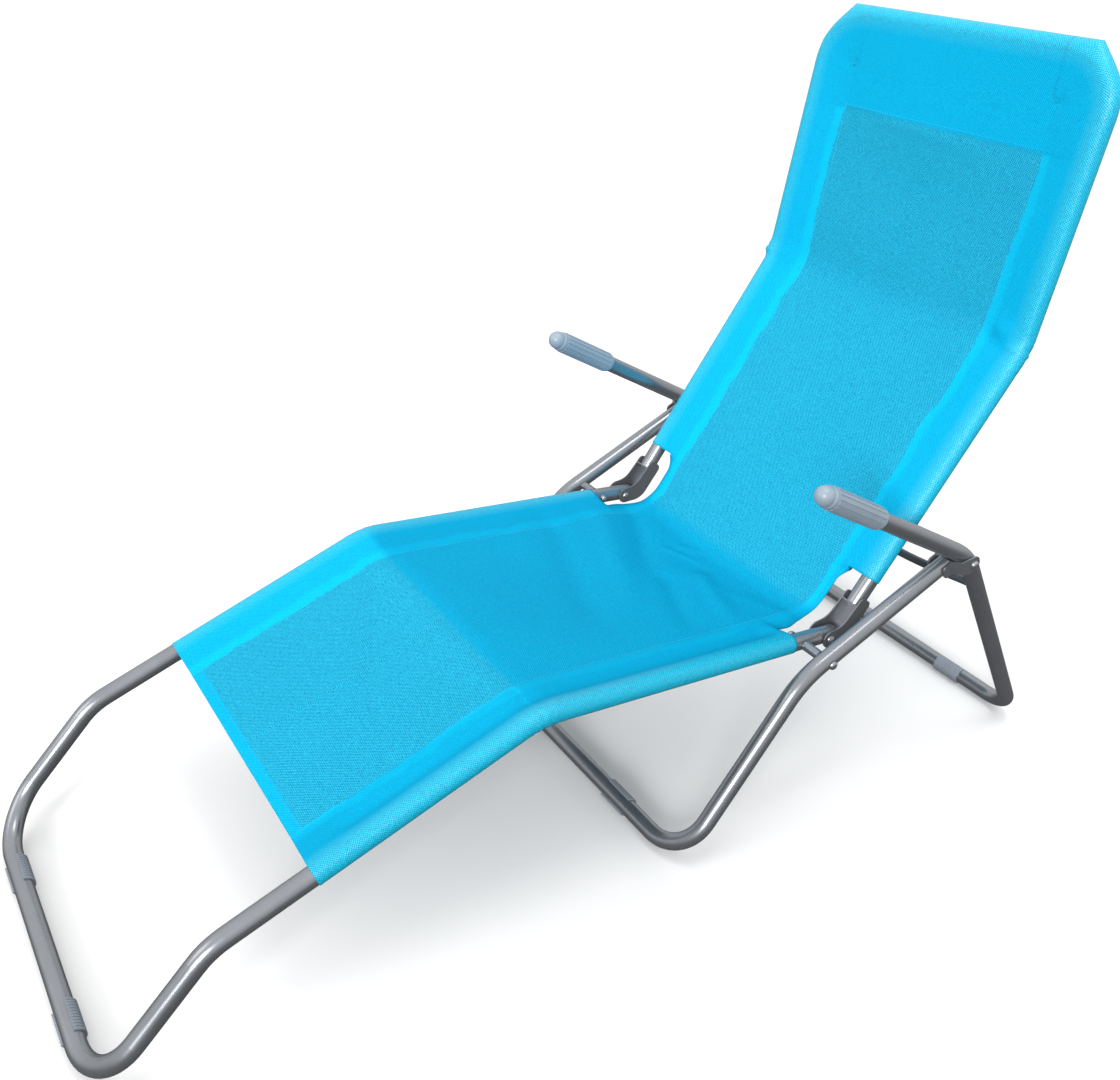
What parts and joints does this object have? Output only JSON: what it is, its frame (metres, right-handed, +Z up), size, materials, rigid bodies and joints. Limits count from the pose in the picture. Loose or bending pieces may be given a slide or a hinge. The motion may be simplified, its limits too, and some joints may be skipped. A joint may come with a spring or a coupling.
{
  "type": "folding sun lounger",
  "caption": "Folding sun lounger: a mesh sling on a bent-tube seat and hinged back that tilt on a folding A-shaped stand with armrests.",
  "frame": {"origin": "on the floor, in the middle of the footprint and on the chair's middle plane", "axes": "+Z up; the sitter faces -Y, so the foot bar is at -Y and the head at +Y; +X is the sitter's left"},
  "size_m": [0.6452, 1.5029, 1.0289],
  "materials": {
    "frame_paint": null,
    "fastener_steel": "satin metal; the plating is a guess",
    "grip_plastic": "matte blue-grey, ribbed",
    "clip_plastic": "matte grey, ribbed",
    "sling_mesh": "woven mesh with a slight sheen; fibre unknown"
  },
  "bodies": {
    "front_stand": {"front_base_tube": "frame_paint", "strut_fork_left": "frame_paint", "strut_fork_right": "frame_paint", "pivot_rivet_left": "fastener_steel", "pivot_rivet_right": "fastener_steel", "front_bar_clip_left": "clip_plastic", "front_bar_clip_right": "clip_plastic", "axle_bolt_left": "fastener_steel", "axle_bolt_right": "fastener_steel", "axle_nut_left": "fastener_steel", "axle_nut_right": "fastener_steel", "axle_spacer_left": "frame_paint", "axle_spacer_right": "frame_paint"},
    "rear_stand": {"rear_leg_arm_tube": "frame_paint", "rear_cross_tube": "frame_paint", "arm_grip_left": "grip_plastic", "arm_grip_right": "grip_plastic", "rear_bar_clip_left": "clip_plastic", "rear_bar_clip_right": "clip_plastic"},
    "seat_frame": {"seat_frame_tube": "frame_paint", "sling_seat": "sling_mesh", "foot_bar_clip_left": "clip_plastic", "foot_bar_clip_right": "clip_plastic"},
    "back_frame": {"back_frame_tube": "frame_paint", "sling_back": "sling_mesh", "hinge_channel_left": "frame_paint", "hinge_channel_right": "frame_paint", "hinge_rivet_left": "fastener_steel", "hinge_rivet_right": "fastener_steel"}
  },
  "joints": [
    {"name": "stand_fold", "type": "hinge", "parent": "front_stand", "child": "rear_stand", "pos_m": [0, 0.494, 0.376], "axis": [-1, 0, 0], "range_deg": [0, 86]},
    {"name": "bed_tilt", "type": "hinge", "parent": "front_stand", "child": "seat_frame", "pos_m": [0, 0.254, 0.2815], "axis": [-1, 0, 0], "range_deg": [-30.1, 29.5]},
    {"name": "back_fold", "type": "hinge", "parent": "seat_frame", "child": "back_frame", "pos_m": [0, 0.301, 0.276], "axis": [1, 0, 0], "range_deg": [0, 115]}
  ]
}
